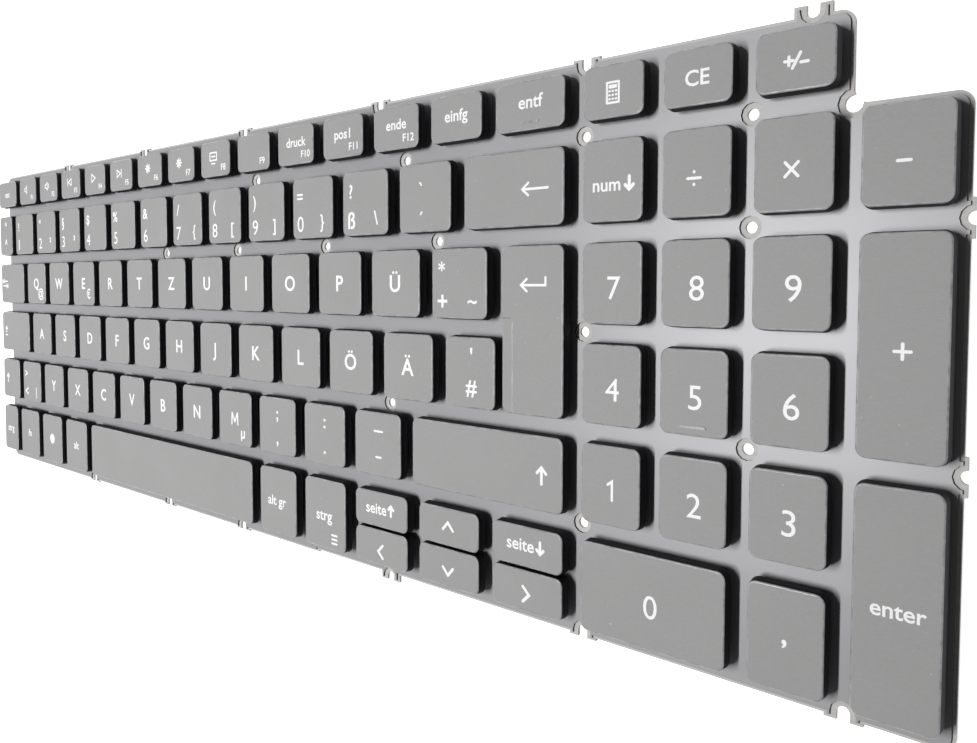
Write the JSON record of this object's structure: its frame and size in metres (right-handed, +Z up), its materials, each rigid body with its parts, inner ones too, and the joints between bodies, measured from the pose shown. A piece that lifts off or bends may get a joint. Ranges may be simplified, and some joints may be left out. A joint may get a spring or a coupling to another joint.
{
  "type": "laptop replacement keyboard",
  "caption": "Thin laptop keyboard module with number pad: flat key caps over a membrane on a sheet plate with slotted fixing tabs.",
  "frame": {"origin": "middle of the footprint on the underside of the base plate", "axes": "+X along the rows towards the number pad, +Y towards the function row, +Z up through the keys"},
  "size_m": [0.331, 0.1134, 0.005],
  "materials": {
    "plate": "satin sheet",
    "membrane": "satin sheet with a fine grain",
    "dome": "matt silicone",
    "keycap": "satin moulded plastic, dark sides"
  },
  "bodies": {
    "keyboard_base": {"base_plate": "plate", "membrane": "membrane", "rubber_domes": "dome", "character_keys": "keycap"},
    "key_alt": {"key_alt": "keycap"},
    "key_alt_gr": {"key_alt_gr": "keycap"},
    "key_backspace": {"key_backspace": "keycap"},
    "key_calculator": {"key_calculator": "keycap"},
    "key_caps_lock": {"key_caps_lock": "keycap"},
    "key_clear_entry": {"key_clear_entry": "keycap"},
    "key_delete": {"key_delete": "keycap"},
    "key_divide": {"key_divide": "keycap"},
    "key_down": {"key_down": "keycap"},
    "key_enter": {"key_enter": "keycap"},
    "key_escape": {"key_escape": "keycap"},
    "key_f1": {"key_f1": "keycap"},
    "key_f10": {"key_f10": "keycap"},
    "key_f11": {"key_f11": "keycap"},
    "key_f12": {"key_f12": "keycap"},
    "key_f2": {"key_f2": "keycap"},
    "key_f3": {"key_f3": "keycap"},
    "key_f4": {"key_f4": "keycap"},
    "key_f5": {"key_f5": "keycap"},
    "key_f6": {"key_f6": "keycap"},
    "key_f7": {"key_f7": "keycap"},
    "key_f8": {"key_f8": "keycap"},
    "key_f9": {"key_f9": "keycap"},
    "key_fn": {"key_fn": "keycap"},
    "key_insert": {"key_insert": "keycap"},
    "key_left": {"key_left": "keycap"},
    "key_left_ctrl": {"key_left_ctrl": "keycap"},
    "key_left_shift": {"key_left_shift": "keycap"},
    "key_minus": {"key_minus": "keycap"},
    "key_multiply": {"key_multiply": "keycap"},
    "key_num_lock": {"key_num_lock": "keycap"},
    "key_pad_0": {"key_pad_0": "keycap"},
    "key_pad_1": {"key_pad_1": "keycap"},
    "key_pad_2": {"key_pad_2": "keycap"},
    "key_pad_3": {"key_pad_3": "keycap"},
    "key_pad_4": {"key_pad_4": "keycap"},
    "key_pad_5": {"key_pad_5": "keycap"},
    "key_pad_6": {"key_pad_6": "keycap"},
    "key_pad_7": {"key_pad_7": "keycap"},
    "key_pad_8": {"key_pad_8": "keycap"},
    "key_pad_9": {"key_pad_9": "keycap"},
    "key_pad_comma": {"key_pad_comma": "keycap"},
    "key_pad_enter": {"key_pad_enter": "keycap"},
    "key_page_down": {"key_page_down": "keycap"},
    "key_page_up": {"key_page_up": "keycap"},
    "key_plus": {"key_plus": "keycap"},
    "key_plus_minus": {"key_plus_minus": "keycap"},
    "key_right": {"key_right": "keycap"},
    "key_right_ctrl": {"key_right_ctrl": "keycap"},
    "key_right_shift": {"key_right_shift": "keycap"},
    "key_space": {"key_space": "keycap"},
    "key_start": {"key_start": "keycap"},
    "key_tab": {"key_tab": "keycap"},
    "key_up": {"key_up": "keycap"}
  },
  "joints": [
    {"name": "key_alt_press", "type": "slide", "parent": "keyboard_base", "child": "key_alt", "axis": [0, 0, -1], "range_m": [0, 0.0014], "stiffness_N_per_m": 150, "deforming": ["rubber_domes"]},
    {"name": "key_alt_gr_press", "type": "slide", "parent": "keyboard_base", "child": "key_alt_gr", "axis": [0, 0, -1], "range_m": [0, 0.0014], "stiffness_N_per_m": 150, "deforming": ["rubber_domes"]},
    {"name": "key_backspace_press", "type": "slide", "parent": "keyboard_base", "child": "key_backspace", "axis": [0, 0, -1], "range_m": [0, 0.0014], "stiffness_N_per_m": 150, "deforming": ["rubber_domes"]},
    {"name": "key_calculator_press", "type": "slide", "parent": "keyboard_base", "child": "key_calculator", "axis": [0, 0, -1], "range_m": [0, 0.0014], "stiffness_N_per_m": 150, "deforming": ["rubber_domes"]},
    {"name": "key_caps_lock_press", "type": "slide", "parent": "keyboard_base", "child": "key_caps_lock", "axis": [0, 0, -1], "range_m": [0, 0.0014], "stiffness_N_per_m": 150, "deforming": ["rubber_domes"]},
    {"name": "key_clear_entry_press", "type": "slide", "parent": "keyboard_base", "child": "key_clear_entry", "axis": [0, 0, -1], "range_m": [0, 0.0014], "stiffness_N_per_m": 150, "deforming": ["rubber_domes"]},
    {"name": "key_delete_press", "type": "slide", "parent": "keyboard_base", "child": "key_delete", "axis": [0, 0, -1], "range_m": [0, 0.0014], "stiffness_N_per_m": 150, "deforming": ["rubber_domes"]},
    {"name": "key_divide_press", "type": "slide", "parent": "keyboard_base", "child": "key_divide", "axis": [0, 0, -1], "range_m": [0, 0.0014], "stiffness_N_per_m": 150, "deforming": ["rubber_domes"]},
    {"name": "key_down_press", "type": "slide", "parent": "keyboard_base", "child": "key_down", "axis": [0, 0, -1], "range_m": [0, 0.0014], "stiffness_N_per_m": 150, "deforming": ["rubber_domes"]},
    {"name": "key_enter_press", "type": "slide", "parent": "keyboard_base", "child": "key_enter", "axis": [0, 0, -1], "range_m": [0, 0.0014], "stiffness_N_per_m": 150, "deforming": ["rubber_domes"]},
    {"name": "key_escape_press", "type": "slide", "parent": "keyboard_base", "child": "key_escape", "axis": [0, 0, -1], "range_m": [0, 0.0014], "stiffness_N_per_m": 150, "deforming": ["rubber_domes"]},
    {"name": "key_f1_press", "type": "slide", "parent": "keyboard_base", "child": "key_f1", "axis": [0, 0, -1], "range_m": [0, 0.0014], "stiffness_N_per_m": 150, "deforming": ["rubber_domes"]},
    {"name": "key_f10_press", "type": "slide", "parent": "keyboard_base", "child": "key_f10", "axis": [0, 0, -1], "range_m": [0, 0.0014], "stiffness_N_per_m": 150, "deforming": ["rubber_domes"]},
    {"name": "key_f11_press", "type": "slide", "parent": "keyboard_base", "child": "key_f11", "axis": [0, 0, -1], "range_m": [0, 0.0014], "stiffness_N_per_m": 150, "deforming": ["rubber_domes"]},
    {"name": "key_f12_press", "type": "slide", "parent": "keyboard_base", "child": "key_f12", "axis": [0, 0, -1], "range_m": [0, 0.0014], "stiffness_N_per_m": 150, "deforming": ["rubber_domes"]},
    {"name": "key_f2_press", "type": "slide", "parent": "keyboard_base", "child": "key_f2", "axis": [0, 0, -1], "range_m": [0, 0.0014], "stiffness_N_per_m": 150, "deforming": ["rubber_domes"]},
    {"name": "key_f3_press", "type": "slide", "parent": "keyboard_base", "child": "key_f3", "axis": [0, 0, -1], "range_m": [0, 0.0014], "stiffness_N_per_m": 150, "deforming": ["rubber_domes"]},
    {"name": "key_f4_press", "type": "slide", "parent": "keyboard_base", "child": "key_f4", "axis": [0, 0, -1], "range_m": [0, 0.0014], "stiffness_N_per_m": 150, "deforming": ["rubber_domes"]},
    {"name": "key_f5_press", "type": "slide", "parent": "keyboard_base", "child": "key_f5", "axis": [0, 0, -1], "range_m": [0, 0.0014], "stiffness_N_per_m": 150, "deforming": ["rubber_domes"]},
    {"name": "key_f6_press", "type": "slide", "parent": "keyboard_base", "child": "key_f6", "axis": [0, 0, -1], "range_m": [0, 0.0014], "stiffness_N_per_m": 150, "deforming": ["rubber_domes"]},
    {"name": "key_f7_press", "type": "slide", "parent": "keyboard_base", "child": "key_f7", "axis": [0, 0, -1], "range_m": [0, 0.0014], "stiffness_N_per_m": 150, "deforming": ["rubber_domes"]},
    {"name": "key_f8_press", "type": "slide", "parent": "keyboard_base", "child": "key_f8", "axis": [0, 0, -1], "range_m": [0, 0.0014], "stiffness_N_per_m": 150, "deforming": ["rubber_domes"]},
    {"name": "key_f9_press", "type": "slide", "parent": "keyboard_base", "child": "key_f9", "axis": [0, 0, -1], "range_m": [0, 0.0014], "stiffness_N_per_m": 150, "deforming": ["rubber_domes"]},
    {"name": "key_fn_press", "type": "slide", "parent": "keyboard_base", "child": "key_fn", "axis": [0, 0, -1], "range_m": [0, 0.0014], "stiffness_N_per_m": 150, "deforming": ["rubber_domes"]},
    {"name": "key_insert_press", "type": "slide", "parent": "keyboard_base", "child": "key_insert", "axis": [0, 0, -1], "range_m": [0, 0.0014], "stiffness_N_per_m": 150, "deforming": ["rubber_domes"]},
    {"name": "key_left_press", "type": "slide", "parent": "keyboard_base", "child": "key_left", "axis": [0, 0, -1], "range_m": [0, 0.0014], "stiffness_N_per_m": 150, "deforming": ["rubber_domes"]},
    {"name": "key_left_ctrl_press", "type": "slide", "parent": "keyboard_base", "child": "key_left_ctrl", "axis": [0, 0, -1], "range_m": [0, 0.0014], "stiffness_N_per_m": 150, "deforming": ["rubber_domes"]},
    {"name": "key_left_shift_press", "type": "slide", "parent": "keyboard_base", "child": "key_left_shift", "axis": [0, 0, -1], "range_m": [0, 0.0014], "stiffness_N_per_m": 150, "deforming": ["rubber_domes"]},
    {"name": "key_minus_press", "type": "slide", "parent": "keyboard_base", "child": "key_minus", "axis": [0, 0, -1], "range_m": [0, 0.0014], "stiffness_N_per_m": 150, "deforming": ["rubber_domes"]},
    {"name": "key_multiply_press", "type": "slide", "parent": "keyboard_base", "child": "key_multiply", "axis": [0, 0, -1], "range_m": [0, 0.0014], "stiffness_N_per_m": 150, "deforming": ["rubber_domes"]},
    {"name": "key_num_lock_press", "type": "slide", "parent": "keyboard_base", "child": "key_num_lock", "axis": [0, 0, -1], "range_m": [0, 0.0014], "stiffness_N_per_m": 150, "deforming": ["rubber_domes"]},
    {"name": "key_pad_0_press", "type": "slide", "parent": "keyboard_base", "child": "key_pad_0", "axis": [0, 0, -1], "range_m": [0, 0.0014], "stiffness_N_per_m": 150, "deforming": ["rubber_domes"]},
    {"name": "key_pad_1_press", "type": "slide", "parent": "keyboard_base", "child": "key_pad_1", "axis": [0, 0, -1], "range_m": [0, 0.0014], "stiffness_N_per_m": 150, "deforming": ["rubber_domes"]},
    {"name": "key_pad_2_press", "type": "slide", "parent": "keyboard_base", "child": "key_pad_2", "axis": [0, 0, -1], "range_m": [0, 0.0014], "stiffness_N_per_m": 150, "deforming": ["rubber_domes"]},
    {"name": "key_pad_3_press", "type": "slide", "parent": "keyboard_base", "child": "key_pad_3", "axis": [0, 0, -1], "range_m": [0, 0.0014], "stiffness_N_per_m": 150, "deforming": ["rubber_domes"]},
    {"name": "key_pad_4_press", "type": "slide", "parent": "keyboard_base", "child": "key_pad_4", "axis": [0, 0, -1], "range_m": [0, 0.0014], "stiffness_N_per_m": 150, "deforming": ["rubber_domes"]},
    {"name": "key_pad_5_press", "type": "slide", "parent": "keyboard_base", "child": "key_pad_5", "axis": [0, 0, -1], "range_m": [0, 0.0014], "stiffness_N_per_m": 150, "deforming": ["rubber_domes"]},
    {"name": "key_pad_6_press", "type": "slide", "parent": "keyboard_base", "child": "key_pad_6", "axis": [0, 0, -1], "range_m": [0, 0.0014], "stiffness_N_per_m": 150, "deforming": ["rubber_domes"]},
    {"name": "key_pad_7_press", "type": "slide", "parent": "keyboard_base", "child": "key_pad_7", "axis": [0, 0, -1], "range_m": [0, 0.0014], "stiffness_N_per_m": 150, "deforming": ["rubber_domes"]},
    {"name": "key_pad_8_press", "type": "slide", "parent": "keyboard_base", "child": "key_pad_8", "axis": [0, 0, -1], "range_m": [0, 0.0014], "stiffness_N_per_m": 150, "deforming": ["rubber_domes"]},
    {"name": "key_pad_9_press", "type": "slide", "parent": "keyboard_base", "child": "key_pad_9", "axis": [0, 0, -1], "range_m": [0, 0.0014], "stiffness_N_per_m": 150, "deforming": ["rubber_domes"]},
    {"name": "key_pad_comma_press", "type": "slide", "parent": "keyboard_base", "child": "key_pad_comma", "axis": [0, 0, -1], "range_m": [0, 0.0014], "stiffness_N_per_m": 150, "deforming": ["rubber_domes"]},
    {"name": "key_pad_enter_press", "type": "slide", "parent": "keyboard_base", "child": "key_pad_enter", "axis": [0, 0, -1], "range_m": [0, 0.0014], "stiffness_N_per_m": 150, "deforming": ["rubber_domes"]},
    {"name": "key_page_down_press", "type": "slide", "parent": "keyboard_base", "child": "key_page_down", "axis": [0, 0, -1], "range_m": [0, 0.0014], "stiffness_N_per_m": 150, "deforming": ["rubber_domes"]},
    {"name": "key_page_up_press", "type": "slide", "parent": "keyboard_base", "child": "key_page_up", "axis": [0, 0, -1], "range_m": [0, 0.0014], "stiffness_N_per_m": 150, "deforming": ["rubber_domes"]},
    {"name": "key_plus_press", "type": "slide", "parent": "keyboard_base", "child": "key_plus", "axis": [0, 0, -1], "range_m": [0, 0.0014], "stiffness_N_per_m": 150, "deforming": ["rubber_domes"]},
    {"name": "key_plus_minus_press", "type": "slide", "parent": "keyboard_base", "child": "key_plus_minus", "axis": [0, 0, -1], "range_m": [0, 0.0014], "stiffness_N_per_m": 150, "deforming": ["rubber_domes"]},
    {"name": "key_right_press", "type": "slide", "parent": "keyboard_base", "child": "key_right", "axis": [0, 0, -1], "range_m": [0, 0.0014], "stiffness_N_per_m": 150, "deforming": ["rubber_domes"]},
    {"name": "key_right_ctrl_press", "type": "slide", "parent": "keyboard_base", "child": "key_right_ctrl", "axis": [0, 0, -1], "range_m": [0, 0.0014], "stiffness_N_per_m": 150, "deforming": ["rubber_domes"]},
    {"name": "key_right_shift_press", "type": "slide", "parent": "keyboard_base", "child": "key_right_shift", "axis": [0, 0, -1], "range_m": [0, 0.0014], "stiffness_N_per_m": 150, "deforming": ["rubber_domes"]},
    {"name": "key_space_press", "type": "slide", "parent": "keyboard_base", "child": "key_space", "axis": [0, 0, -1], "range_m": [0, 0.0014], "stiffness_N_per_m": 150, "deforming": ["rubber_domes"]},
    {"name": "key_start_press", "type": "slide", "parent": "keyboard_base", "child": "key_start", "axis": [0, 0, -1], "range_m": [0, 0.0014], "stiffness_N_per_m": 150, "deforming": ["rubber_domes"]},
    {"name": "key_tab_press", "type": "slide", "parent": "keyboard_base", "child": "key_tab", "axis": [0, 0, -1], "range_m": [0, 0.0014], "stiffness_N_per_m": 150, "deforming": ["rubber_domes"]},
    {"name": "key_up_press", "type": "slide", "parent": "keyboard_base", "child": "key_up", "axis": [0, 0, -1], "range_m": [0, 0.0014], "stiffness_N_per_m": 150, "deforming": ["rubber_domes"]}
  ]
}
